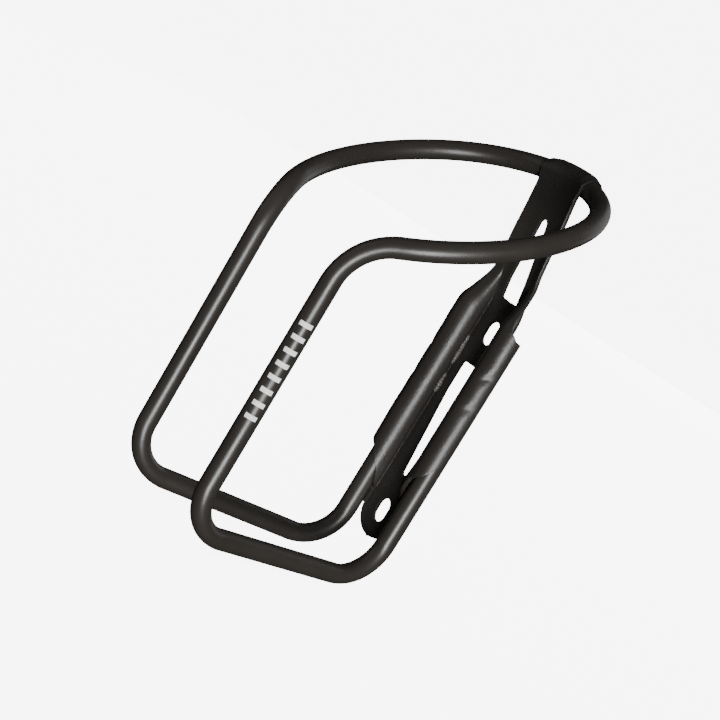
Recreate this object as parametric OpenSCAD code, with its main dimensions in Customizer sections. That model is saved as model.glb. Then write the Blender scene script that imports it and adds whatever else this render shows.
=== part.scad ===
// Bicycle bottle cage: one bent tube, held in a stamped back plate.
// Origin: midway between the two bolt slots, on the face that meets the bicycle.
// +Z runs up along the bottle, +Y points into the bicycle's tube, +X is across.

/* [Bottle] */
// Diameter of the bottle that the cage grips
bottle_d = 74; // [61:0.5:89]
// Gap between the bottle and the tube at rest
bottle_gap = 0.5; // [0:0.1:1]

/* [Tube] */
// Outside diameter of the tube
tube_d = 6.3; // [5.2:0.1:7.6]
// Wall thickness of the tube
tube_wall = 1; // [0.6:0.1:1.4]
// Distance between the centres of the two rear legs
leg_spacing = 23.9; // [21:0.1:29]
// How much the tube's radius shrinks where it is bent
bend_thinning = 0.03; // [0.02:0.01:0.2]
// Height of the cut ends of the tube above the slots' midpoint
leg_top = 34; // [28:1:38]
// Depth of the rear end of the bottom runs below the slots' midpoint
base_depth_rear = 52.2; // [46:0.2:64]
// Depth of the front end of the bottom runs below the slots' midpoint
base_depth_front = 53.8; // [50:0.2:67]
// Bend radius of the four bottom corners, on the centreline
base_bend_r = 14; // [9:0.2:16]
// Distance between the two front rails at their lower corners
rail_spacing = 41.2; // [36:0.2:50]
// How far each rail moves out from its lower to its upper corner
rail_lean_out = 0.75; // [0:0.05:2]
// How far each rail moves forward from its lower to its upper corner
rail_lean_forward = 1.25; // [0:0.1:3]
// Height of the shoulder corners above the slots' midpoint
shoulder_height = 38.2; // [32:0.5:46]
// Distance from a shoulder's corner to where the hoop's side begins
shoulder_reach = 13.5; // [11:0.1:18]
// Length of the short straight between a shoulder's bend and the hoop
shoulder_run = 0.8; // [0.7:0.1:5]
// Height of the back of the hoop above the slots' midpoint
hoop_height = 84.4; // [76:0.2:102]
// Distance from the mounting face to the back of the tab that wraps the hoop
tab_setback = 0.3; // [0.1:0.1:4]
// Bend radius at the back of the hoop, less the radius of a ring round the bottle
hoop_back_ease = -0.5; // [-2:0.1:4]
// Turn of the hoop, each way from the back, where its radius changes
hoop_back_turn = 65; // [55:1:80]

/* [Back plate] */
// Thickness of the sheet
sheet_t = 1.2; // [0.8:0.1:1.6]
// Clearance between the sheet and the tube it is crimped on
crimp_gap = 0.05; // [0.02:0.01:0.15]
// Angle past straight out at which a channel's free edge ends
wrap_end = 25; // [0:5:40]
// Height of the top of the straight channels
channel_top = 36; // [30:1:40]
// Height of a channel's cut lower end, on its front
channel_low = -17; // [-24:1:-8]
// Slope of that cut, highest on the outside
channel_cut = 61; // [30:1:65]
// Height at which the plate starts to lean towards the bottle
lean_start = 40; // [37:1:44]
// Width of the neck and of the tab
neck_w = 20; // [17:0.2:23]
// Height at which the channels have run out into the neck
fade_top = 58; // [54:1:62]
// How far inward a fading channel moves
fade_in = 3.8; // [2:0.2:5]
// How far back a fading channel moves
fade_back = 1.2; // [0:0.1:2]
// How far round the tube the tab is wrapped, from its front to its free edge
tab_wrap = 190; // [150:5:230]
// How much narrower than the web the rounded tongue at the plate's foot is, each side
tongue_step = 0.55; // [0.4:0.05:2]
// How far below a channel's cut front end the full width of the web reaches
web_drop = 8.8; // [7:0.1:10]
// Height of the steep edge above a straight channel, where it starts to turn inward
shoulder_step = 3; // [1:0.5:5]

/* [Mounting slots] */
// Spacing of the two bolt slots, centre to centre
bolt_spacing = 64; // [60:1:68]
// Width of a bolt slot
bolt_w = 5.5; // [5.2:0.1:6.5]
// Length of a bolt slot, end to end
bolt_l = 8; // [7:0.5:12]

/* [Lightening slots] */
// Height of the long slot's upper end
long_top = 20.6; // [16:0.2:24]
// Height of the long slot's lower end
long_low = -19.5; // [-24:0.5:-12]
// Width of the long slot's upper part
long_w_top = 8.4; // [6:0.2:10]
// Width of the long slot's lower end
long_w_low = 2.6; // [2:0.2:5]
// Height at which the long slot starts to narrow
long_taper = 10; // [5:1:14]
// Height of the neck slot's lower end
neck_slot_low = 43; // [42:0.5:46]
// Height of the neck slot's round upper end, at its centre
neck_slot_top = 69; // [62:0.5:72]
// Height at which the neck slot starts to narrow
neck_slot_taper = 50; // [47:0.5:54]
// Width of the neck slot's lower part
neck_slot_w = 8; // [6:0.2:10]
// Width of the neck slot's upper end
neck_slot_w_top = 3.3; // [2:0.1:5]

/* [Seam welds] */
// Radius of the short welds in the crease beside each channel
weld_r = 0.9; // [0.6:0.1:1.2]
// Height of the middle of the upper welds
weld_upper = 22.5; // [20:0.5:26]
// Length of the upper welds
weld_upper_l = 10.5; // [6:0.5:12]
// Height of the middle of the lower welds
weld_lower = 10.5; // [6:0.5:13]
// Length of the lower welds
weld_lower_l = 7; // [4:0.5:9]

/* [Hidden] */
$fn = 64;
// Length that is longer than any part of the cage, and how far a cut runs past a face
far = 200;
past = 1;
black_satin = [0.14, 0.135, 0.13];
black_gloss = [0.11, 0.108, 0.105];
black_weld = [0.2, 0.19, 0.185];

tube_r = tube_d / 2;
tube_bore_r = tube_r - tube_wall;
crimp_r = tube_r + crimp_gap;
skin_r = crimp_r + sheet_t;
hoop_offset = skin_r + tab_setback;
ring_r = bottle_d / 2 + bottle_gap + tube_r;
bottle_y = -(hoop_offset + ring_r);
leg_x = leg_spacing / 2;
leg_y = -tube_r;
// How far a bend reaches into its neighbours, and a piece of the plate into the next one
bend_lap = 0.3;
sheet_lap = 0.4;
// How much thinner a piece of the plate is than the one it reaches into, each side
sheet_step = 0.15;
neck_step = 0.05;

// Corners of the tube's centreline on the right side, from the leg's end to the shoulder
rail_x_low = rail_spacing / 2;
rail_x_top = rail_x_low + rail_lean_out;
rail_y_top = bottle_y - sqrt(ring_r * ring_r - rail_x_top * rail_x_top);
rail_y_low = rail_y_top + rail_lean_forward;
leg_end = [leg_x, leg_y, leg_top];
rear_corner = [leg_x, leg_y, -base_depth_rear];
front_corner = [rail_x_low, rail_y_low, -base_depth_front];
shoulder = [rail_x_top, rail_y_top, shoulder_height];

// The hoop lies in one tilted plane: u is across, v runs up the slope from its back
hoop_back = [0, -hoop_offset, hoop_height];
hoop_tilt = atan2(hoop_height - shoulder_height, -hoop_offset - rail_y_top);
hoop_back_r = ring_r + hoop_back_ease;
back_centre = [0, -hoop_back_r];
shoulder_v = -norm([rail_y_top + hoop_offset, hoop_height - shoulder_height]);
shoulder_uv = [rail_x_top, shoulder_v];
// A side arc meets the back arc smoothly, and its tangent to the shoulder has a set length
back_turn_dir = [sin(hoop_back_turn), cos(hoop_back_turn)];
chord = shoulder_uv - back_centre - hoop_back_r * back_turn_dir;
hoop_side_r = (chord * chord - shoulder_reach * shoulder_reach) / (-2 * chord * back_turn_dir);
side_centre = back_centre - (hoop_side_r - hoop_back_r) * back_turn_dir;
to_shoulder = shoulder_uv - side_centre;
side_turn = atan2(to_shoulder[0], to_shoulder[1]) - atan2(shoulder_reach, hoop_side_r);
side_end_uv = side_centre + hoop_side_r * [sin(side_turn), cos(side_turn)];
side_end = from_hoop(side_end_uv);
shoulder_cut = shoulder_reach - shoulder_run;
shoulder_bend_r = shoulder_cut * tan(corner_half(front_corner, shoulder, side_end));

// The neck leans forward from lean_start until it touches the front of the hoop
neck_run = norm([hoop_offset, hoop_height - lean_start]);
neck_lean = atan2(hoop_offset, hoop_height - lean_start) + asin(crimp_r / neck_run);
neck_len = sqrt(neck_run * neck_run - crimp_r * crimp_r);
neck_back_r = hoop_back_r - crimp_r;
neck_front_angle = 180 + neck_lean - hoop_tilt;
// The web stops just short of the tube's seat
web_half = leg_x - sqrt(crimp_r * crimp_r - pow(tube_r - sheet_t, 2)) - crimp_gap;
tongue_r = web_half - tongue_step;
web_low = channel_low - web_drop;

function from_hoop(p) =
    hoop_back + [p[0], p[1] * cos(hoop_tilt), p[1] * sin(hoop_tilt)];
function unit(v) = v / norm(v);
function corner_half(a, b, c) = acos(unit(a - b) * unit(c - b)) / 2;
function corner_cut(a, b, c, r) = r / tan(corner_half(a, b, c));
function turn_of(arc, r) = arc / r * 180 / PI;
function on_polar(r, a) = r * [cos(a), sin(a)];

// Turns local X, Y and Z onto the directions x, y and their cross product
module facing(origin, x, y) {
    z = cross(x, y);
    multmatrix([
        [x[0], y[0], z[0], origin[0]],
        [x[1], y[1], z[1], origin[1]],
        [x[2], y[2], z[2], origin[2]],
        [0, 0, 0, 1]
    ]) children();
}

module straight(a, b, r) {
    run = b - a;
    translate(a)
        rotate([0, acos(run[2] / norm(run)), atan2(run[1], run[0])])
            cylinder(h = norm(run), r = r);
}

// The bend at corner b of the route a, b, c, reaching a little way into its neighbours
module corner(a, b, c, bend_r, r) {
    half = corner_half(a, b, c);
    start = b + corner_cut(a, b, c, bend_r) * unit(a - b);
    centre = b + bend_r / sin(half) * unit(unit(a - b) + unit(c - b));
    lap = turn_of(bend_lap, bend_r);
    facing(centre, unit(start - centre), unit(b - a))
        rotate([0, 0, -lap])
            rotate_extrude(angle = 180 - 2 * half + 2 * lap)
                translate([bend_r, 0])
                    circle(r - bend_thinning);
}

module in_hoop_plane() {
    translate(hoop_back) rotate([hoop_tilt, 0, 0]) children();
}

// An arc in the hoop's plane, from one turn to another measured from the back
module hoop_arc(centre, arc_r, turn_from, turn_to, r) {
    in_hoop_plane()
        translate(centre)
            rotate([0, 0, 90 - turn_to])
                rotate_extrude(angle = turn_to - turn_from)
                    translate([arc_r, 0])
                        circle(r);
}

// Half of the tube, from the leg's cut end to where the back of the hoop begins
module tube_side(r) {
    rear_cut = corner_cut(leg_end, rear_corner, front_corner, base_bend_r);
    front_cut = corner_cut(rear_corner, front_corner, shoulder, base_bend_r);
    run_dir = unit(front_corner - rear_corner);
    rail_dir = unit(shoulder - front_corner);
    straight(leg_end, rear_corner + [0, 0, rear_cut], r);
    corner(leg_end, rear_corner, front_corner, base_bend_r, r);
    straight(rear_corner + rear_cut * run_dir, front_corner - front_cut * run_dir, r);
    corner(rear_corner, front_corner, shoulder, base_bend_r, r);
    straight(front_corner + front_cut * rail_dir, shoulder - shoulder_cut * rail_dir, r);
    corner(front_corner, shoulder, side_end, shoulder_bend_r, r);
    straight(shoulder + shoulder_cut * unit(side_end - shoulder), side_end, r);
    lap = turn_of(bend_lap, hoop_side_r);
    hoop_arc(side_centre, hoop_side_r, hoop_back_turn - lap, side_turn + lap,
        r - bend_thinning);
}

module tube_solid(r) {
    tube_side(r);
    mirror([1, 0, 0]) tube_side(r);
    hoop_arc(back_centre, hoop_back_r, -hoop_back_turn, hoop_back_turn, r);
}

module bent_tube() {
    color(black_satin)
        difference() {
            tube_solid(tube_r);
            tube_solid(tube_bore_r);
        }
}

// Stands a flat outline, drawn in X and Z, up against the mounting face
module upright(thickness) {
    rotate([90, 0, 0]) linear_extrude(height = thickness) children();
}

module in_neck() {
    translate([0, 0, lean_start]) rotate([neck_lean, 0, 0]) children();
}

module web() {
    upright(sheet_t) {
        translate([0, -bolt_spacing / 2]) circle(tongue_r);
        translate([-tongue_r, -bolt_spacing / 2])
            square([2 * tongue_r, bolt_spacing / 2 + lean_start]);
        translate([-web_half, web_low])
            square([2 * web_half, lean_start - web_low]);
    }
}

// Cross-section of the sheet rolled round a leg, open where the leg meets the bicycle
module channel_section() {
    intersection() {
        difference() {
            circle(skin_r);
            circle(crimp_r);
            polygon([
                [0, 0], on_polar(2 * skin_r, wrap_end),
                [2 * skin_r, 2 * skin_r], [0, 2 * skin_r]
            ]);
        }
        translate([-far / 2, -far]) square([far, far + tube_r]);
    }
}

module channel() {
    translate([leg_x, leg_y, 0])
        difference() {
            translate([0, 0, -base_depth_rear])
                linear_extrude(height = base_depth_rear + channel_top)
                    channel_section();
            translate([0, 0, channel_low])
                rotate([0, -channel_cut, 0])
                    translate([-far / 2, -far / 2, -far])
                        cube(far);
        }
}

// Outline that the fading channels keep inside, seen from the front
module shoulder_outline() {
    outer = leg_x + skin_r;
    low = channel_top - sheet_lap;
    turn_in = channel_top + shoulder_step;
    polygon([
        [-outer, low], [outer, low], [outer, turn_in],
        [neck_w / 2, fade_top], [-neck_w / 2, fade_top], [-outer, turn_in]
    ]);
}

// Above its straight part a channel turns inward and sinks into the neck
module channel_fade() {
    rise = fade_top - channel_top;
    run = [-fade_in, fade_back, rise];
    length = norm(run) + 2 * skin_r;
    intersection() {
        translate([leg_x, leg_y, channel_top])
            rotate([0, acos(rise / norm(run)), atan2(run[1], run[0])])
                translate([0, 0, -skin_r])
                    difference() {
                        cylinder(h = length, r = skin_r - sheet_step);
                        translate([0, 0, -past])
                            cylinder(h = length + 2 * past, r = crimp_r + sheet_step);
                    }
        upright(far) shoulder_outline();
        in_neck()
            translate([0, -neck_back_r, -far / 2])
                cylinder(h = far, r = neck_back_r - 2 * neck_step);
    }
}

// The leaning neck is curved like the back of the hoop
module neck() {
    in_neck()
        intersection() {
            translate([0, -neck_back_r - neck_step, -sheet_step])
                difference() {
                    cylinder(h = neck_len + sheet_step + sheet_lap, r = neck_back_r);
                    translate([0, 0, -past])
                        cylinder(h = neck_len + 2 * past, r = neck_back_r - sheet_t);
                }
            translate([-neck_w / 2, -neck_back_r, -past])
                cube([neck_w, 2 * neck_back_r, neck_len + 2 * past]);
        }
}

// The neck's upper end is wrapped over the hoop from the bottle's side
module tab() {
    // The sector left open runs in a few steps, since one flat side can't span it
    gap = 360 - tab_wrap;
    steps = 4;
    intersection() {
        in_hoop_plane()
            translate(back_centre)
                rotate([0, 0, 90 - hoop_back_turn])
                    rotate_extrude(angle = 2 * hoop_back_turn)
                        translate([hoop_back_r, 0])
                            difference() {
                                circle(skin_r);
                                circle(crimp_r);
                                polygon([
                                    [0, 0],
                                    for (i = [0:steps])
                                        on_polar(2 * skin_r,
                                            neck_front_angle + gap * i / steps)
                                ]);
                            }
        translate([-neck_w / 2, -far / 2, 0])
            cube([neck_w, far, far]);
    }
}

module bolt_slot() {
    reach = (bolt_l - bolt_w) / 2;
    translate([0, reach]) circle(d = bolt_w);
    translate([0, -reach]) circle(d = bolt_w);
    translate([-bolt_w / 2, -reach]) square([bolt_w, 2 * reach]);
}

module long_slot() {
    r = long_w_low / 2;
    translate([0, long_low + r]) circle(r);
    polygon([
        [-r, long_low + r], [r, long_low + r],
        [long_w_top / 2, long_taper], [long_w_top / 2, long_top],
        [-long_w_top / 2, long_top], [-long_w_top / 2, long_taper]
    ]);
}

module neck_slot() {
    half = neck_slot_w / 2;
    r = neck_slot_w_top / 2;
    translate([0, neck_slot_top]) circle(r);
    polygon([
        [-half, neck_slot_low], [half, neck_slot_low], [half, neck_slot_taper],
        [r, neck_slot_top], [-r, neck_slot_top], [-half, neck_slot_taper]
    ]);
}

module back_plate() {
    color(black_gloss)
        difference() {
            union() {
                web();
                channel();
                mirror([1, 0, 0]) channel();
                channel_fade();
                mirror([1, 0, 0]) channel_fade();
                neck();
                tab();
            }
            translate([0, past, 0])
                upright(far) {
                    translate([0, bolt_spacing / 2]) bolt_slot();
                    translate([0, -bolt_spacing / 2]) bolt_slot();
                    long_slot();
                    neck_slot();
                }
        }
}

// One short fillet of weld in the crease between the right channel and the web
module crease_weld(middle, length) {
    crease_x = leg_x - sqrt(skin_r * skin_r - pow(tube_r - sheet_t, 2));
    translate([0, 0, middle - length / 2])
        linear_extrude(height = length)
            difference() {
                translate([crease_x, -sheet_t]) circle(weld_r);
                translate([leg_x, leg_y]) circle(skin_r);
                translate([0, -sheet_t]) square(far);
            }
}

module right_seam_welds() {
    color(black_weld) {
        crease_weld(weld_upper, weld_upper_l);
        crease_weld(weld_lower, weld_lower_l);
    }
}

module left_seam_welds() {
    mirror([1, 0, 0]) right_seam_welds();
}

bent_tube();
back_plate();
left_seam_welds();
right_seam_welds();
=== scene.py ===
# %% [markdown]
# # A bicycle bottle cage
# The cage is one bent metal tube that loops round a drinking bottle, held in a stamped
# back plate that bolts to the bicycle. This lesson loads the measured frame, sets up the
# view, and then makes each piece as a surface worked out with numpy: a round section
# carried along a bent route, and a sheet whose section changes along its length.

# %% Load the frame
import bpy
import bmesh
import numpy as np
from mathutils import Matrix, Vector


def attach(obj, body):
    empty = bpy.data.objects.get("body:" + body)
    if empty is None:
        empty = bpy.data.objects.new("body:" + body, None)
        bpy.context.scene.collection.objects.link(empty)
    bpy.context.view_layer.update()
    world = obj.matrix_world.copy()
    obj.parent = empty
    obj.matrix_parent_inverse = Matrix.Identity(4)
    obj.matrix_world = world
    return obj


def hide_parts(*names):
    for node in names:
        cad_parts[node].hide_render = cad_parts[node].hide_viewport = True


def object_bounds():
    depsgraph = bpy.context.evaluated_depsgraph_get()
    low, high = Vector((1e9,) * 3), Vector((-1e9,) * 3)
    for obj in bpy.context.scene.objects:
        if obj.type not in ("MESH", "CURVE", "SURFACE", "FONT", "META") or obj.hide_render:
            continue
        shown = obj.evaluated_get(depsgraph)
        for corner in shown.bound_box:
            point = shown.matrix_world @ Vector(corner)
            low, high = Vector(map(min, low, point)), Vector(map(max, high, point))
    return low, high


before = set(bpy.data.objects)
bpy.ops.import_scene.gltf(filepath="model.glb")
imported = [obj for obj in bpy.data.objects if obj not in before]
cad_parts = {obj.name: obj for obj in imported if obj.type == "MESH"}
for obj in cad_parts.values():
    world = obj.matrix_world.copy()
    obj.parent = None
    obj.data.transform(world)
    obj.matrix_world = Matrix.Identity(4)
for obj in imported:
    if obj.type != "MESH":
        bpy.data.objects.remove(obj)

cad_box = [[float(value) for value in corner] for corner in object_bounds()]
print("CAD box in metres:", cad_box)

# %% [markdown]
# ## The camera
# The view is set by a few plain numbers: the point aimed at, how far round and how high the
# camera stands, how far away, the lens, and how much the camera is rolled. The cage lies
# tilted in the view, and rolling the camera does that without moving the cage out of the
# frame that its sizes are measured in.

# %% Place the camera
view_azimuth = np.radians(50.80)
view_elevation = np.radians(6.59)
view_roll = np.radians(31.37)
view_distance = 0.5490
view_aim = np.array([0.00179, -0.04092, 0.00720])
lens_mm = 93.95
sensor_mm = 36.0


def toward(azimuth, elevation):
    """Unit vector at an azimuth from -Y towards +X, and an elevation above the floor."""
    flat = np.cos(elevation)
    return np.array([np.sin(azimuth) * flat, -np.cos(azimuth) * flat, np.sin(elevation)])


def unit(vectors):
    """Each vector divided by its own length."""
    return vectors / np.linalg.norm(vectors, axis=-1, keepdims=True)


to_camera = toward(view_azimuth, view_elevation)
level_right = unit(np.cross(-to_camera, [0.0, 0.0, 1.0]))
level_up = np.cross(to_camera, level_right)
camera_right = np.cos(view_roll) * level_right + np.sin(view_roll) * level_up
camera_up = np.cos(view_roll) * level_up - np.sin(view_roll) * level_right

camera_data = bpy.data.cameras.new("cage_camera")
camera_data.sensor_width = sensor_mm
camera_data.lens = lens_mm
camera_data.clip_start = 0.01
camera = bpy.data.objects.new("cage_camera", camera_data)
bpy.context.collection.objects.link(camera)
pose = np.eye(4)
pose[:3, 0] = camera_right
pose[:3, 1] = camera_up
pose[:3, 2] = to_camera
pose[:3, 3] = view_aim + view_distance * to_camera
camera.matrix_world = Matrix(pose.tolist())
bpy.context.scene.camera = camera
print("Camera stands at", np.round(pose[:3, 3], 4))

# %% [markdown]
# ## Helpers for surfaces
# Every piece here is a grid of points: rows follow the piece's length and columns follow its
# section. A grid could be filled by hand in a modeller, but a function of two parameters
# keeps every row exact. Rows that shrink to a point are merged, so poles and seams close.

# %% Turn a grid of points into a mesh
MM = 0.001
merge_distance = 0.004 * MM
full_turn = 2.0 * np.pi


def grid_faces(rows, columns, closed):
    """Quads between neighbouring rows and columns; a closed grid joins its last column."""
    across = columns if closed else columns - 1
    row, column = np.meshgrid(np.arange(rows - 1), np.arange(across), indexing="ij")
    after = (column + 1) % columns
    corners = [row * columns + column, row * columns + after,
               (row + 1) * columns + after, (row + 1) * columns + column]
    return np.stack(corners, axis=-1).reshape(-1, 4)


def piece_from(name, points, faces, smooth_degrees):
    """A mesh object at the origin, with doubles merged and its faces turned outwards."""
    mesh = bpy.data.meshes.new(name)
    mesh.from_pydata(points.reshape(-1, 3).tolist(), [], faces.tolist())
    shape = bmesh.new()
    shape.from_mesh(mesh)
    bmesh.ops.remove_doubles(shape, verts=shape.verts, dist=merge_distance)
    bmesh.ops.dissolve_degenerate(shape, edges=shape.edges, dist=merge_distance)
    bmesh.ops.recalc_face_normals(shape, faces=shape.faces)
    shape.to_mesh(mesh)
    shape.free()
    mesh.shade_smooth()
    mesh.set_sharp_from_angle(angle=np.radians(smooth_degrees))
    piece = bpy.data.objects.new(name, mesh)
    bpy.context.collection.objects.link(piece)
    print(name, "has", len(mesh.vertices), "vertices and", len(mesh.polygons), "faces")
    return piece


def ramp(value, start, end):
    """0 before start, 1 after end, and a smooth S between them."""
    part = np.clip((value - start) / (end - start), 0.0, 1.0)
    return part * part * (3.0 - 2.0 * part)


# %% [markdown]
# ## The bent tube
# On the real cage this is one aluminium tube, bent at six places and curved into a hoop. A
# modeller could sweep a circle along a curve object, but a real bend is slightly oval: the
# tube flattens in the plane of the bend and swells across it. So the route is built from
# straight runs and arcs, each with its own plane, and the section changes with them.

# %% Sizes of the tube, in millimetres
tube_radius = 3.15
bore_radius = 2.15
leg_x = 11.95
leg_top = 34.0
rear_depth = 52.2
front_depth = 53.8
base_bend = 14.0
rail_low_x = 20.6
rail_lean_out = 0.75
rail_lean_forward = 1.25
shoulder_height = 38.2
shoulder_run = 0.8
hoop_height = 84.4
hoop_offset = 4.7
ring_radius = 40.65
hoop_back_radius = 40.15
hoop_side_radius = 52.05
hoop_back_turn = np.radians(65.0)

bottle_y = -(hoop_offset + ring_radius)
rail_top_x = rail_low_x + rail_lean_out
rail_top_y = bottle_y - np.sqrt(ring_radius ** 2 - rail_top_x ** 2)
leg_end = np.array([leg_x, -tube_radius, leg_top])
rear_corner = np.array([leg_x, -tube_radius, -rear_depth])
front_corner = np.array([rail_low_x, rail_top_y + rail_lean_forward, -front_depth])
shoulder = np.array([rail_top_x, rail_top_y, shoulder_height])

# %% Find where the hoop's side arcs meet the shoulders
hoop_back = np.array([0.0, -hoop_offset, hoop_height])
hoop_tilt = np.arctan2(hoop_height - shoulder_height, -hoop_offset - rail_top_y)
hoop_across = np.array([1.0, 0.0, 0.0])
hoop_up_slope = np.array([0.0, np.cos(hoop_tilt), np.sin(hoop_tilt)])
hoop_normal = np.cross(hoop_across, hoop_up_slope)
back_centre = np.array([0.0, -hoop_back_radius])
side_centre = back_centre - (hoop_side_radius - hoop_back_radius) * np.array(
    [np.sin(hoop_back_turn), np.cos(hoop_back_turn)])
shoulder_slope = -np.hypot(rail_top_y + hoop_offset, hoop_height - shoulder_height)
to_shoulder = np.array([rail_top_x, shoulder_slope]) - side_centre
reach = np.linalg.norm(to_shoulder)
side_turn = np.arctan2(*to_shoulder) - np.arccos(hoop_side_radius / reach)
print("The hoop's plane rises", round(float(np.degrees(hoop_tilt)), 2), "degrees")


def in_hoop(flat):
    """Points of the hoop's plane, given across and up the slope, in the cage's frame."""
    return hoop_back + flat[..., :1] * hoop_across + flat[..., 1:] * hoop_up_slope


side_end = in_hoop(side_centre + hoop_side_radius * np.array(
    [np.sin(side_turn), np.cos(side_turn)]))

# %% Straight runs and bends as arrays
row_spacing = 0.7
straight_spacing = 3.0 * row_spacing
fewest_bend_rows = 8
odd_way = np.array([0.3, 0.2, 0.1])


def straight(start, end):
    """Points evenly spaced from start to end, with one direction and no bend."""
    length = np.linalg.norm(end - start)
    rows = max(int(length / straight_spacing), 2)
    part = np.linspace(0.0, 1.0, rows)[:, None]
    along = unit(end - start)
    side = unit(np.cross(along, odd_way))
    return {
        "points": start + part * (end - start),
        "along": np.tile(along, (rows, 1)),
        "side": np.tile(side, (rows, 1)),
        "flatten": np.zeros(rows),
    }


def arc(centre, start, first, radius, turn, flattening):
    """Points at centre + radius (cos t side + sin t first), for t from 0 to the turn."""
    rows = max(int(abs(turn) * radius / row_spacing), fewest_bend_rows)
    part = np.linspace(0.0, 1.0, rows)
    angle = (part * turn)[:, None]
    outward = unit(start - centre)
    side = np.cos(angle) * outward + np.sin(angle) * first
    along = np.cos(angle) * first - np.sin(angle) * outward
    ease = 1.0 - (2.0 * part - 1.0) ** 4
    return {
        "points": centre + radius * side,
        "along": along,
        "side": side,
        "flatten": flattening * ease,
    }


def corner_cut(before, corner, after, radius):
    """How far from a corner its bend starts: radius over the tangent of half the angle."""
    half = np.arccos(unit(before - corner) @ unit(after - corner)) / 2.0
    return radius / np.tan(half)


def bend(before, corner, after, radius, flattening):
    """The arc that rounds a corner of the route with a given radius."""
    back, ahead = unit(before - corner), unit(after - corner)
    half = np.arccos(back @ ahead) / 2.0
    start = corner + radius / np.tan(half) * back
    centre = corner + radius / np.sin(half) * unit(back + ahead)
    return arc(centre, start, -back, radius, np.pi - 2.0 * half, flattening)


def hoop_arc(centre, radius, turn_from, turn_to):
    """An arc of the hoop, between two turns measured from the hoop's back."""
    flat = centre + radius * np.array([np.sin(turn_from), np.cos(turn_from)])
    heading = np.array([-np.cos(turn_from), np.sin(turn_from)])
    first = heading[0] * hoop_across + heading[1] * hoop_up_slope
    return arc(in_hoop(centre), in_hoop(flat), first, radius, turn_from - turn_to, 0.0)


# %% Join the right half of the route
base_flattening = 0.075
shoulder_flattening = 0.04
shoulder_cut = np.linalg.norm(side_end - shoulder) - shoulder_run
shoulder_bend = shoulder_cut / corner_cut(front_corner, shoulder, side_end, 1.0)
rear_cut = corner_cut(leg_end, rear_corner, front_corner, base_bend)
front_cut = corner_cut(rear_corner, front_corner, shoulder, base_bend)
run_way = unit(front_corner - rear_corner)
rail_way = unit(shoulder - front_corner)

half_route = [
    straight(leg_end, rear_corner + [0.0, 0.0, rear_cut]),
    bend(leg_end, rear_corner, front_corner, base_bend, base_flattening),
    straight(rear_corner + rear_cut * run_way, front_corner - front_cut * run_way),
    bend(rear_corner, front_corner, shoulder, base_bend, base_flattening),
    straight(front_corner + front_cut * rail_way, shoulder - shoulder_cut * rail_way),
    bend(front_corner, shoulder, side_end, shoulder_bend, shoulder_flattening),
    hoop_arc(side_centre, hoop_side_radius, side_turn, hoop_back_turn),
    hoop_arc(back_centre, hoop_back_radius, hoop_back_turn, 0.0),
]


# %% [markdown]
# A section that is carried along a route must not twist, or the quads shear. Within one run
# or bend the section keeps its angle to the bend's plane, so only the angle at each joint
# between two runs has to be worked out, and every row in between follows from it.

# %% Give each row a pair of section axes
mirror = np.array([-1.0, 1.0, 1.0])


def mirrored(piece):
    """The same run on the other side, walked the other way."""
    return {
        "points": piece["points"][::-1] * mirror,
        "along": -piece["along"][::-1] * mirror,
        "side": piece["side"][::-1] * mirror,
        "flatten": piece["flatten"][::-1],
    }


def section_axes(runs):
    """Adds to each run the two axes of its section, turned as little as possible."""
    axis = unit(np.cross(runs[0]["along"][0], [0.0, 1.0, 0.0]))
    for run in runs:
        normal = np.cross(run["along"], run["side"])
        angle = np.arctan2(axis @ normal[0], axis @ run["side"][0])
        run["one"] = np.cos(angle) * run["side"] + np.sin(angle) * normal
        run["two"] = np.cross(run["along"], run["one"])
        axis = run["one"][-1]
    return {key: np.concatenate([run[key] for run in runs]) for key in runs[0]}


route = section_axes(half_route + [mirrored(run) for run in reversed(half_route)])
steps = np.linalg.norm(np.diff(route["points"], axis=0), axis=1)
print("The tube is", round(float(steps.sum()), 1), "mm long along its centre")

# %% Carry the section along the route
tube_columns = 48
swell_share = 0.6
lip_rows = 7
lip_round = 0.25
lip_depth = 1.0
bore_depth = 14.0


def swept_tube(path):
    """The centres, the ring cos a one + sin a two at each, and how far it is flattened."""
    angle = np.linspace(0.0, full_turn, tube_columns, endpoint=False)
    ring = (np.cos(angle)[None, :, None] * path["one"][:, None, :]
            + np.sin(angle)[None, :, None] * path["two"][:, None, :])
    in_plane = np.einsum("rci,ri->rc", ring, path["side"]) ** 2
    shape = 1.0 + path["flatten"][:, None] * (swell_share * (1.0 - in_plane) - in_plane)
    return path["points"], ring, shape


def rounded_end(centre, ring, outward):
    """Rows of an open tube end: a rounded lip, the bore's wall, and its dark far end."""
    turn = np.linspace(0.0, np.pi, lip_rows)[1:]
    wall = (tube_radius - bore_radius) / 2.0
    radius = np.concatenate([bore_radius + wall * (1.0 + np.cos(turn)),
                             [bore_radius, bore_radius, 0.0]])
    depth = np.concatenate([lip_round * np.sin(turn),
                            [-lip_depth, -bore_depth, -bore_depth]])
    middle = centre + depth[:, None] * outward
    return middle[:, None, :] + radius[:, None, None] * ring[None, :, :]


centres, ring, shape = swept_tube(route)
outer = centres[:, None, :] + tube_radius * shape[:, :, None] * ring
first_end = rounded_end(centres[0], ring[0], -route["along"][0])
last_end = rounded_end(centres[-1], ring[-1], route["along"][-1])
tube_points = np.concatenate([first_end[::-1], outer, last_end]) * MM
tube_faces = grid_faces(len(tube_points), tube_columns, closed=True)
tube = piece_from("cage_tube", tube_points, tube_faces, smooth_degrees=50.0)

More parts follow.
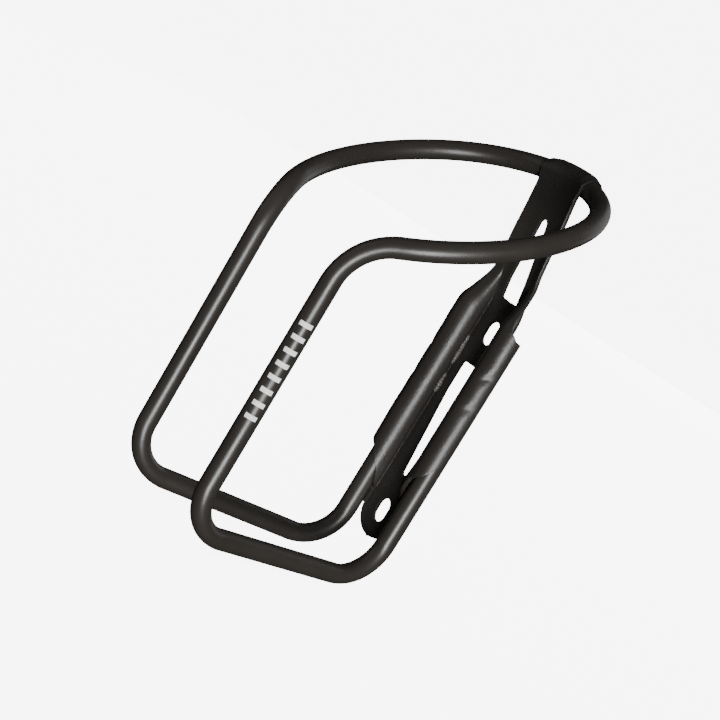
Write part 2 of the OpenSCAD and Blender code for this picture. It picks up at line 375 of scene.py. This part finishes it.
# %% [markdown]
# ## The stamped back plate
# The real plate is one sheet: a flat web with slots, channels rolled round both legs of the
# tube, a neck that leans to the hoop, and a tab wrapped over it. It could be carved out of
# blocks, but a pressed sheet shows even thickness everywhere. So only its middle surface is
# drawn here. One parameter runs up the sheet and over the hoop, the other runs across it
# from the edge of a slot to the sheet's own edge, and a modifier gives it thickness. The
# channels are rolled a little loose, so their centres lie inward and forward of the legs.

# %% Sizes of the sheet, in millimetres
sheet = 1.2
half_sheet = sheet / 2.0
clearance = 0.05
web_y = -half_sheet
mid_gap = tube_radius + clearance + half_sheet
channel_loose, channel_inward, channel_ahead = 0.3, 0.3, 0.5
channel_radius = mid_gap + channel_loose
channel_x = leg_x - channel_inward
channel_forward = tube_radius + channel_ahead
crease_radius = 0.7
tongue_radius = 9.2
bolt_height = 32.0
wrap_turn = np.radians(190.0)
tab_round = 2.0

crease_turn = np.arccos((crease_radius - channel_forward - web_y)
                        / (crease_radius + channel_radius))
crease_start = channel_x - (crease_radius + channel_radius) * np.sin(crease_turn)
crease_length = crease_radius * crease_turn
channel_start = 1.5 * np.pi - crease_turn
print("The flat web ends", round(float(crease_start), 2), "mm from the middle")

# %% The slots' half-widths as a function of height
bolt_half = 2.75
bolt_reach = 4.0
long_low, long_top, long_taper = -19.5, 20.6, 10.0
long_half_low, long_half_top = 1.3, 4.2
neck_low, neck_top, neck_taper = 43.0, 70.6, 50.0
neck_half_low, neck_half_top = 4.0, 1.65
end_power = 3.6
end_round = 1.1


def round_slot(height, middle):
    """Half-width of a slot with two round ends, standing upright."""
    past_flat = np.maximum(np.abs(height - middle) - (bolt_reach - bolt_half), 0.0)
    return np.sqrt(np.maximum(bolt_half ** 2 - past_flat ** 2, 0.0))


def soft_end(distance, length, power):
    """0 at a slot's end and 1 a length away, along a rounded corner of a given power."""
    part = np.clip(distance / length, 0.0, 1.0)
    return (1.0 - (1.0 - part) ** power) ** (1.0 / power)


def tapered_slot(height, low, top, taper, half_low, half_top, square_low, square_top):
    """Half-width of a slot whose sides lean, with a blunt or a round shape at each end."""
    below, above = np.minimum(half_low, half_top), np.maximum(half_low, half_top)
    if half_low < half_top:
        side = below + (above - below) * np.clip((height - low) / (taper - low), 0.0, 1.0)
    else:
        side = above - (above - below) * np.clip((height - taper) / (top - taper), 0.0, 1.0)
    low_end = soft_end(height - low, *square_low)
    high_end = soft_end(top - height, *square_top)
    return side * low_end * high_end


def slot_half(height):
    """Half-width of whichever slot the height passes through, or 0."""
    long_slot = tapered_slot(height, long_low, long_top, long_taper, long_half_low,
                             long_half_top, (long_half_low, 2.0), (end_round, end_power))
    neck_slot = tapered_slot(height, neck_low, neck_top, neck_taper, neck_half_low,
                             neck_half_top, (end_round, end_power), (neck_half_top, 2.0))
    bolts = np.maximum(round_slot(height, bolt_height), round_slot(height, -bolt_height))
    return np.maximum(np.maximum(long_slot, neck_slot), bolts)


# %% [markdown]
# The blank is the flat sheet before it was formed. Its half-width says where the sheet
# ends: a round tongue at the foot, then a slanting cut where each channel starts, and the
# narrow neck at the top. The rows crowd together at the slots' ends, where the outline turns
# fastest.

# %% The sheet's length, and where its edges are cut
lean_start = 40.0
lean_soft = 2.0
lean_rise = hoop_height - lean_start
lean_in = hoop_offset - half_sheet
lean = np.arctan2(lean_in, lean_rise) + np.arcsin(mid_gap / np.hypot(lean_in, lean_rise))
neck_length = np.sqrt(lean_in ** 2 + lean_rise ** 2 - mid_gap ** 2)
wrap_length = mid_gap * wrap_turn
sheet_foot = -bolt_height - tongue_radius
sheet_head = lean_start + neck_length + wrap_length
print("The neck leans", round(float(np.degrees(lean)), 2), "degrees")

cut_angle = np.array([-226.0, -204.0, -183.0, -165.0, -138.0, -111.0, -101.0, -68.0,
                      -51.0, -25.0, -8.0, 3.0, 7.0, 8.0, 8.0, 7.0, 3.0, -4.0, -15.0,
                      -30.0, -48.0, -58.0, -66.0, -74.0])
cut_height = np.array([-30.2, -28.3, -26.5, -23.3, -20.7, -18.3, -16.8, -15.2,
                       -14.3, -10.9, -9.6, -8.5, -7.5, -6.4, 31.2, 32.2, 33.0, 33.7, 34.6,
                       35.6, 36.6, 37.8, 41.0, 48.0])

# %% Rows up the sheet
even_spacing = 0.62
crowd_rows, crowd_power = 12, 2.6
closest_rows = 0.0015


def rows_near(end, way, length):
    """Heights that start at a slot's end and spread out quickly from it."""
    return end + way * length * np.linspace(0.0, 1.0, crowd_rows) ** crowd_power


def sheet_rows():
    """All row positions, sorted, with near doubles dropped."""
    even = np.arange(sheet_foot, sheet_head, even_spacing)
    ends = [
        rows_near(long_low, 1, long_half_low), rows_near(long_top, -1, end_round),
        rows_near(neck_low, 1, end_round), rows_near(neck_top, -1, neck_half_top),
        rows_near(bolt_height + bolt_reach, -1, bolt_half),
        rows_near(bolt_height - bolt_reach, 1, bolt_half),
        rows_near(-bolt_height + bolt_reach, -1, bolt_half),
        rows_near(-bolt_height - bolt_reach, 1, bolt_half),
        rows_near(sheet_foot, 1, tongue_radius / 2.0),
        rows_near(sheet_head, -1, tab_round),
    ]
    rows = np.unique(np.concatenate([even, *ends]))
    keep = np.concatenate([[True], np.diff(rows) > closest_rows])
    return rows[keep]


# %% Half-widths of the blank and of the neck
neck_row = [58.0, 66.0, 76.0, 80.0, 84.5, 89.0, sheet_head]
neck_half = [10.1, 10.0, 9.6, 9.45, 10.1, 10.4, 10.2]
tongue_ends = (-30.5, -28.6)


def neck_half_width(row):
    """Half-width of the neck and tab, waisted below the hoop, rounded at its free end."""
    wide = np.interp(row, neck_row, neck_half)
    return wide - tab_round * (1.0 - soft_end(sheet_head - row, tab_round, 2.0))


def blank_half(row):
    """Half-width of the flat blank at each row of the straight part of the plate."""
    below = np.maximum(-bolt_height - row, 0.0)
    tongue = np.sqrt(np.maximum(tongue_radius ** 2 - below ** 2, 0.0))
    turned = np.radians(np.interp(row, cut_height, cut_angle)) + full_turn
    past = np.maximum(turned - channel_start, 0.0)
    rolled = crease_start + crease_length + channel_radius * past
    return tongue + ramp(row, *tongue_ends) * (rolled - tongue)


# %% [markdown]
# Across the sheet there are three stretches: the flat web, the small crease, and the roll
# round the tube. Above the legs the roll opens and melts into the edge of the neck. Each row
# is worked out twice, once as a rolled channel and once as a gently curved neck, and the
# rows between are a blend of the two.

# %% The rolled section
web_columns, crease_columns, roll_columns = 16, 8, 44
curl_begins = (-31.5, -26.5)
nearly_flat = 0.02
smallest_curl = 1e-6
swage_depth = 0.25
swage_rows = (-17.0, -7.5)
swage_soft = 0.8


def stretches(low, high, count):
    """Even steps from low to high for each row, without the last one."""
    part = np.arange(count) / count
    return low[:, None] + part[None, :] * (high - low)[:, None]


def rolled_section(row, slot, blank):
    """Across and forward places of a row whose edge is rolled round the tube's leg."""
    web_end = np.minimum(crease_start, blank)
    crease_end = np.minimum(crease_start + crease_length, blank)
    width = np.concatenate([
        stretches(slot, web_end, web_columns),
        stretches(web_end, crease_end, crease_columns),
        stretches(crease_end, blank, roll_columns), blank[:, None]], axis=1)
    curl = (crease_turn * ramp(row, *curl_begins))[:, None]
    into = np.clip(width - crease_start, 0.0, crease_length)
    turn = curl * into / crease_length
    radius = crease_length / np.maximum(curl, smallest_curl)
    flat = curl < nearly_flat
    across = np.minimum(width, crease_start) + np.where(flat, into, radius * np.sin(turn))
    forward = np.where(flat, 0.0, radius * (1.0 - np.cos(turn)))
    past = np.maximum(width - crease_start - crease_length, 0.0)
    angle = channel_start + past / channel_radius
    swage = swage_depth * (1.0 - ramp(row, *swage_rows))[:, None]
    thinner = swage * ramp(angle, channel_start, channel_start + swage_soft)
    reach = channel_radius - thinner - roll_dents(row[:, None], angle)
    rolled = past > 0.0
    across = np.where(rolled, channel_x + reach * np.cos(angle), across)
    forward = np.where(rolled, channel_forward + web_y - reach * np.sin(angle), forward)
    return across, forward


# %% Pinches in the channels
pinches = ((20.5, 0.42), (10.0, 0.34))
pinch_facing = np.radians(322.0)
pinch_slant, pinch_slant_rows = 0.35, 2.2
pinch_rows, pinch_angle = 2.1, 0.42
wave_depth, wave_pitch = 0.05, 0.55
wave_facing, wave_angle = np.radians(300.0), 0.9


def hump(distance, width):
    """A bell curve: 1 at no distance, and almost 0 past twice the width."""
    return np.exp(-(distance / width) ** 2)


def roll_dents(row, angle):
    """Shallow pinches left by the crimping tool on the outer side of each channel."""
    dents = 0.0
    for middle, depth in pinches:
        slant = pinch_facing + pinch_slant * np.tanh((row - middle) / pinch_slant_rows)
        deep = depth * hump(row - middle, pinch_rows)
        dents = dents + deep * hump(angle - slant, pinch_angle)
    wave = wave_depth * np.sin(row * wave_pitch) * hump(angle - wave_facing, wave_angle)
    return dents + wave


# %% The neck's section
neck_web_end, neck_crease_end = 6.4, 7.6
rim_lift = 0.55
rim_columns = (5.6, 9.8)
rim_fades = (56.0, 76.0)


def neck_section(row, slot):
    """Across and forward places of the neck: an arc like the hoop's, with raised rims."""
    count = len(row)
    edge = neck_half_width(row)
    web_end = np.maximum(np.full(count, neck_web_end), slot)
    crease_end = np.full(count, neck_crease_end)
    across = np.concatenate([
        stretches(slot, web_end, web_columns),
        stretches(web_end, crease_end, crease_columns),
        stretches(crease_end, edge, roll_columns), edge[:, None]], axis=1)
    sag = across ** 2 / (2.0 * hoop_back_radius)
    lift = rim_lift * (1.0 - ramp(row, *rim_fades))
    forward = sag + lift[:, None] * ramp(across, *rim_columns)
    return across, forward


# %% Follow the sheet up the plate and over the hoop
fine_steps = 4000
melt_rows = (35.5, 57.0)
settle_rows = (36.0, 52.0)
bow_length = 9.0
edge_press = 0.5
press_columns = (7.0, 10.2)
press_from, press_to = 0.2, 0.9
neck_end = lean_start + neck_length
neck_face = np.array([-np.cos(lean), -np.sin(lean)])


def tilt_at(row):
    """How far the sheet has leaned at a row: none below the bend, the full lean above."""
    return lean * np.clip(row - lean_start + lean_soft, 0.0, 2.0 * lean_soft) / (
        2.0 * lean_soft)


def sheet_middle(row):
    """The line up the sheet's middle, summed from its tilt, and which way is forward."""
    fine = np.linspace(sheet_foot, sheet_head, fine_steps)
    tilt = tilt_at(fine)[1:]
    step = fine[1] - fine[0]
    y_line = web_y - np.concatenate([[0.0], np.cumsum(np.sin(tilt) * step)])
    z_line = sheet_foot + np.concatenate([[0.0], np.cumsum(np.cos(tilt) * step)])
    place = np.stack([np.interp(row, fine, y_line), np.interp(row, fine, z_line)], axis=-1)
    ahead = np.stack([-np.cos(tilt_at(row)), -np.sin(tilt_at(row))], axis=-1)
    return place, ahead


def sheet_points(row):
    """The right half of the middle surface, as a grid of points in millimetres."""
    slot = slot_half(np.minimum(row, neck_top))
    rolled_across, rolled_forward = rolled_section(row, slot, blank_half(row))
    neck_across, neck_forward = neck_section(row, slot)
    melt = ramp(row, *melt_rows)[:, None]
    settle = ramp(row, *settle_rows)[:, None]
    across = rolled_across + melt * (neck_across - rolled_across)
    forward = rolled_forward + settle * (neck_forward - rolled_forward)
    place, ahead = sheet_middle(row)
    neck_way = ahead[:, None, :]
    slope_way = -hoop_up_slope[1:]
    bow_blend = ramp(row, neck_end - bow_length, neck_end)[:, None, None]
    bow_way = neck_way + bow_blend * (slope_way - neck_way)
    flat = place[:, None, :] + forward[:, :, None] * bow_way
    wrapped = wrapped_points(row, across, forward)
    over = (row > neck_end)[:, None, None]
    yz = np.where(over, wrapped, flat)
    return np.concatenate([across[:, :, None], yz], axis=-1)


def wrapped_points(row, across, forward):
    """Rows past the neck: a circle round the hoop's tube, wider where the hoop turns."""
    start = np.arctan2(neck_face @ hoop_normal[1:], neck_face @ -hoop_up_slope[1:])
    angle = start + np.maximum(row - neck_end, 0.0) / mid_gap
    stretch = 1.0 / np.sqrt(1.0 - (across / hoop_back_radius) ** 2)
    closing = ramp(angle, start + press_from, start + press_to)[:, None]
    pressed = mid_gap - edge_press * ramp(np.abs(across), *press_columns) * closing
    along = pressed * np.cos(angle)[:, None] * stretch + forward
    lift = pressed * np.sin(angle)[:, None]
    return (hoop_back[1:] - along[:, :, None] * hoop_up_slope[1:]
            + lift[:, :, None] * hoop_normal[1:])


# %% Make the plate from its right half and the mirror of it
rows = sheet_rows()
right_half = sheet_points(rows)
left_half = right_half * mirror
columns = right_half.shape[1]
right_faces = grid_faces(len(rows), columns, closed=False)
left_faces = right_faces[:, ::-1] + right_half.shape[0] * columns
plate_points = np.concatenate([right_half.reshape(-1, 3), left_half.reshape(-1, 3)]) * MM
plate_faces = np.concatenate([right_faces, left_faces])
plate = piece_from("stamped_plate", plate_points, plate_faces, smooth_degrees=60.0)

# %% Thickness and broken edges
broken_edge = 0.16
thicken = plate.modifiers.new("sheet_thickness", "SOLIDIFY")
thicken.thickness = sheet * MM
thicken.offset = 0.0
thicken.use_even_offset = False
thicken.use_quality_normals = True
edges = plate.modifiers.new("stamped_edges", "BEVEL")
edges.width = broken_edge * MM
edges.segments = 2
edges.limit_method = "ANGLE"
edges.angle_limit = np.radians(58.0)
edges.use_clamp_overlap = True
edges.harden_normals = False

# %% [markdown]
# ## Seam welds
# Two short runs of weld sit in the crease beside each channel. A bead is laid in ripples, so
# each one is a low half-round ridge whose radius rises and falls along its length. Drawing
# the ripples into the shape lets them catch the light from any side.

# %% Lay the weld beads
weld_spans = ((17.25, 27.75), (7.0, 14.0))
weld_columns = 20
weld_rows = 90
weld_radius = 0.95
weld_ripples = ((6.3, 0.14), (11.7, 0.09), (2.1, 0.10))
weld_lump, lump_ridges, lump_pitch = 0.08, 3.0, 1.9
weld_wander, wander_pitch = 0.12, 0.9
weld_end_power = 6
weld_inset = 0.3
weld_place = np.array([crease_start + weld_inset, web_y - half_sheet - weld_inset])


def weld_bead(low, high, seed):
    """Middle + radius (cos a, sin a) up the crease, its radius rippled and closed at ends."""
    random = np.random.default_rng(seed)
    part = np.linspace(0.0, 1.0, weld_rows)
    height = low + part * (high - low)
    closing = np.sqrt(np.clip(1.0 - (2.0 * part - 1.0) ** weld_end_power, 0.0, 1.0))
    phase = random.uniform(0.0, full_turn, len(weld_ripples))
    ripple = sum(depth * np.sin(height * pitch + start)
                 for (pitch, depth), start in zip(weld_ripples, phase))
    angle = np.linspace(0.0, full_turn, weld_columns, endpoint=False)
    lump = weld_lump * np.sin(lump_ridges * angle[None, :] + height[:, None] * lump_pitch)
    radius = weld_radius * closing[:, None] * (1.0 + ripple[:, None] + lump)
    wander = weld_wander * np.sin(height * wander_pitch + phase[1])
    x = weld_place[0] + wander[:, None] + radius * np.cos(angle)
    y = weld_place[1] + radius * np.sin(angle)
    z = np.broadcast_to(height[:, None], x.shape)
    return np.stack([x, y, z], axis=-1)


def weld_piece(name, side, seed):
    """Both beads of one side as one mesh."""
    beads = [weld_bead(*span, seed + index) for index, span in enumerate(weld_spans)]
    points = np.concatenate([bead.reshape(-1, 3) for bead in beads])
    points = points * np.array([side, 1.0, 1.0]) * MM
    faces = grid_faces(weld_rows, weld_columns, closed=True)
    both = np.concatenate([faces, faces + weld_rows * weld_columns])
    return piece_from(name, points, both, smooth_degrees=80.0)


right_welds = weld_piece("right_welds", side=1.0, seed=11)
left_welds = weld_piece("left_welds", side=-1.0, seed=23)

# %% [markdown]
# ## Finishes
# Both the tube and the plate are black, but not the same black. The tube has a satin powder
# coat: a fine soft grain with a dull sheen. The pressed plate is a little rougher and its
# grain is deeper, so its streaks of light look broken up. Over the welds the coat is thin
# and greyer. One flat black everywhere would hide the form, so colour, roughness and bump
# all change a little from place to place.


# %% Node helpers
def new_finish(name):
    """An empty node material with a Principled shader, and a function that adds nodes."""
    material = bpy.data.materials.new(name)
    material.use_nodes = True
    tree = material.node_tree
    shader = tree.nodes["Principled BSDF"]

    def add(kind, inputs=None, **settings):
        node = tree.nodes.new(kind)
        for key, value in settings.items():
            setattr(node, key, value)
        for key, value in (inputs or {}).items():
            if isinstance(value, bpy.types.NodeSocket):
                tree.links.new(value, node.inputs[key])
            else:
                node.inputs[key].default_value = value
        return node

    return material, tree, shader, add


def grey(value, warmth=0.0):
    """A colour of one brightness, a little warmer if asked."""
    return (value * (1.0 + warmth), value, value * (1.0 - warmth), 1.0)


cloud_scale, speckle_scale, scuff_scale = 55.0, 2600.0, 900.0
scuff_stretch = (1.0, 1.0, 0.12)
dust_grey = grey(0.075, 0.05)


def coat(name, dark, light, roughness, grain_scale, grain_depth, mark=False):
    """A coated metal: clouded colour, uneven roughness, fine grain and faint scuffs."""
    material, tree, shader, add = new_finish(name)
    place = add("ShaderNodeTexCoord").outputs["Object"]
    clouds = add("ShaderNodeTexNoise", {"Vector": place, "Scale": cloud_scale,
                                         "Detail": 5.0})
    speckle = add("ShaderNodeTexNoise", {"Vector": place, "Scale": speckle_scale,
                                           "Detail": 2.0})
    tone = add("ShaderNodeMix", {"Factor": clouds.outputs["Fac"], "A": dark, "B": light},
               data_type="RGBA")
    dust = add("ShaderNodeMapRange", {"Value": speckle.outputs["Fac"], "From Min": 0.62,
                                      "From Max": 0.85, "To Min": 0.0, "To Max": 0.35})
    dusty = add("ShaderNodeMix", {"Factor": dust.outputs["Result"],
                                  "A": tone.outputs["Result"], "B": dust_grey},
                data_type="RGBA")
    sheen = add("ShaderNodeMapRange", {"Value": clouds.outputs["Fac"], "From Min": 0.3,
                                       "From Max": 0.7, "To Min": roughness - 0.04,
                                       "To Max": roughness + 0.05})
    grain = add("ShaderNodeTexNoise", {"Vector": place, "Scale": grain_scale,
                                       "Detail": 3.0, "Roughness": 0.6})
    scuff_place = add("ShaderNodeMapping", {"Vector": place, "Scale": scuff_stretch})
    scuffs = add("ShaderNodeTexNoise", {"Vector": scuff_place.outputs["Vector"],
                                        "Scale": scuff_scale, "Detail": 2.0})
    fine = add("ShaderNodeBump", {"Height": grain.outputs["Fac"], "Distance": grain_depth,
                                  "Strength": 0.55})
    bump = add("ShaderNodeBump", {"Height": scuffs.outputs["Fac"],
                                  "Distance": grain_depth * 0.6, "Strength": 0.25,
                                  "Normal": fine.outputs["Normal"]})
    colour = dusty.outputs["Result"]
    rough = sheen.outputs["Result"]
    if mark:
        colour, rough = printed_bars(add, place, colour, rough)
    tree.links.new(colour, shader.inputs["Base Color"])
    tree.links.new(rough, shader.inputs["Roughness"])
    tree.links.new(bump.outputs["Normal"], shader.inputs["Normal"])
    shader.inputs["Specular IOR Level"].default_value = 0.5
    return material


# %% [markdown]
# The near rail carries a small white print. Here it is a plain row of short bars, evenly
# spaced. The rail is almost upright, so height and the angle round the rail's own axis place
# the bars, and both come from object coordinates.

# %% Plain bars printed on one rail
bar_low, bar_high, bar_pitch, bar_share = -17.6, 13.4, 4.2, 0.34
bar_facing = np.radians(-32.0)
bar_half_angle = 0.62
bar_ink = grey(0.9)
bar_roughness = 0.55
rail_middle = np.round((front_corner + shoulder) / 2.0, 1)
rail_axis = rail_middle * MM
rail_reach = 5.0 * MM


def printed_bars(add, place, colour, rough):
    """White where the height falls in a bar and the angle round the rail is near enough."""
    def maths(operation, *values):
        node = add("ShaderNodeMath", dict(enumerate(values)), operation=operation)
        return node.outputs[0]

    split = add("ShaderNodeSeparateXYZ", {"Vector": place})
    height = maths("MULTIPLY", split.outputs["Z"], 1.0 / MM)
    from_low = maths("SUBTRACT", height, bar_low)
    phase = maths("FRACT", maths("DIVIDE", from_low, bar_pitch))
    in_bar = maths("LESS_THAN", phase, bar_share)
    in_span = maths("MULTIPLY", maths("GREATER_THAN", height, bar_low),
                    maths("LESS_THAN", height, bar_high))
    beside = maths("SUBTRACT", split.outputs["X"], float(rail_axis[0]))
    before = maths("SUBTRACT", split.outputs["Y"], float(rail_axis[1]))
    angle = maths("ARCTAN2", before, beside)
    off = maths("ABSOLUTE", maths("SUBTRACT", angle, bar_facing))
    near = maths("LESS_THAN", off, bar_half_angle)
    on_rail = maths("MULTIPLY", maths("LESS_THAN", maths("ABSOLUTE", beside), rail_reach),
                    maths("LESS_THAN", maths("ABSOLUTE", before), rail_reach))
    ink = maths("MULTIPLY", maths("MULTIPLY", in_bar, in_span),
                maths("MULTIPLY", near, on_rail))
    wear = add("ShaderNodeTexNoise", {"Vector": place, "Scale": 1400.0, "Detail": 3.0})
    kept = add("ShaderNodeMapRange", {"Value": wear.outputs["Fac"], "From Min": 0.28,
                                      "From Max": 0.36, "To Min": 0.75, "To Max": 1.0})
    inked = maths("MULTIPLY", ink, kept.outputs["Result"])
    print_mix = add("ShaderNodeMix", {"Factor": inked, "A": colour, "B": bar_ink},
                    data_type="RGBA")
    rough_mix = add("ShaderNodeMix", {"Factor": inked, "A": rough, "B": bar_roughness},
                    data_type="FLOAT")
    return print_mix.outputs["Result"], rough_mix.outputs["Result"]


# %% Make the finishes
satin_black = coat("satin_black_coat", grey(0.021, 0.12), grey(0.031, 0.12), 0.36,
                   2200.0, 0.00005, mark=True)
plate_black = coat("plate_black_coat", grey(0.016, 0.12), grey(0.025, 0.12), 0.39,
                   1500.0, 0.00013)
weld_black = coat("weld_black_coat", grey(0.060, 0.06), grey(0.200, 0.06), 0.32,
                  1100.0, 0.00009)
print("Finishes:", satin_black.name, plate_black.name, weld_black.name)

# %% [markdown]
# ## Say what each piece stands for
# Each surface replaces one node of the measured model, rides on its body and takes its slot
# in the record, so that other tools can find and repaint it.

for piece, node, slot_name, finish in (
    (tube, "bent_tube", "tube_coat", satin_black),
    (plate, "back_plate", "plate_coat", plate_black),
    (left_welds, "left_seam_welds", "weld_coat", weld_black),
    (right_welds, "right_seam_welds", "weld_coat", weld_black),
):
    piece.data.materials.append(finish)
    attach(piece, "root")
    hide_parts(node)
    print(piece.name, "stands for", node)

# %% [markdown]
# ## Floor, backdrop and light
# A black object shows its form only through reflections. The surroundings glow white to
# look at, but are left out of what the cage reflects, so a few soft lamps alone draw the
# bright streaks along the tubes. The key lamp stands lower than the floor, which therefore
# casts no shadow. Two large washes, kept out of reflections, lift the black a little.

# %% Set the stage
floor_drop = 0.0006
surround_glow = 7.0
floor_z = cad_box[0][2] - floor_drop
floor_reach = 12.0
floor_corners = np.array([[-1, -1], [1, -1], [1, 1], [-1, 1]]) * floor_reach
floor_mesh = bpy.data.meshes.new("studio_floor")
floor_mesh.from_pydata(
    np.column_stack([floor_corners, np.full(4, floor_z)]).tolist(), [], [(0, 1, 2, 3)])
floor = bpy.data.objects.new("studio_floor", floor_mesh)
bpy.context.collection.objects.link(floor)
floor_finish, floor_tree, floor_shader, floor_add = new_finish("pale_floor")
floor_noise = floor_add("ShaderNodeTexNoise", {
    "Vector": floor_add("ShaderNodeTexCoord").outputs["Object"], "Scale": 3.0})
floor_tone = floor_add("ShaderNodeMapRange", {
    "Value": floor_noise.outputs["Fac"], "To Min": 0.93, "To Max": 0.97})
floor_tree.links.new(floor_tone.outputs["Result"], floor_shader.inputs["Base Color"])
floor_shader.inputs["Roughness"].default_value = 0.9
floor_shader.inputs["Emission Color"].default_value = (1.0, 1.0, 1.0, 1.0)
floor_shader.inputs["Emission Strength"].default_value = surround_glow
floor_shader.inputs["Specular IOR Level"].default_value = 0.0
floor_mesh.materials.append(floor_finish)
floor.visible_glossy = False
floor.visible_diffuse = False
floor.visible_shadow = False

world = bpy.data.worlds.new("white_surround")
bpy.context.scene.world = world
world.use_nodes = True
surround = world.node_tree.nodes["Background"]
surround.inputs["Color"].default_value = (1.0, 1.0, 1.0, 1.0)
surround.inputs["Strength"].default_value = surround_glow
world.cycles_visibility.glossy = False
world.cycles_visibility.diffuse = False


# %% Soft lamps
lit_middle = np.array([0.0, -0.041, 0.016])


def lamp(name, azimuth, elevation, distance, width, height, power, in_gloss=True):
    """A rectangular lamp that faces the middle of the cage from a given direction."""
    away = toward(np.radians(azimuth), np.radians(elevation))
    side = unit(np.cross([0.0, 0.0, 1.0], away))
    data = bpy.data.lights.new(name, "AREA")
    data.shape = "RECTANGLE"
    data.size = width
    data.size_y = height
    data.energy = power
    light = bpy.data.objects.new(name, data)
    placed = np.eye(4)
    placed[:3, 0] = side
    placed[:3, 1] = np.cross(away, side)
    placed[:3, 2] = away
    placed[:3, 3] = lit_middle + distance * away
    light.matrix_world = Matrix(placed.tolist())
    light.visible_camera = False
    light.visible_glossy = in_gloss
    bpy.context.collection.objects.link(light)
    return light


lamp("key_lamp", 66.0, -14.0, 2.4, 0.75, 1.1, 86.0)
lamp("broad_lamp", 78.0, 4.0, 2.4, 1.8, 2.0, 7.0)
lamp("left_lamp", -30.0, 20.0, 1.4, 0.5, 1.2, 1.0)
lamp("back_lamp", 190.0, 25.0, 1.4, 1.0, 1.2, 3.0)
lamp("ceiling_wash", 0.0, 89.9, 2.5, 4.0, 4.0, 60.0, in_gloss=False)
lamp("back_wash", 205.0, 12.0, 2.5, 3.0, 3.0, 70.0, in_gloss=False)
print("Lamps:", ", ".join(light.name for light in bpy.data.lights))
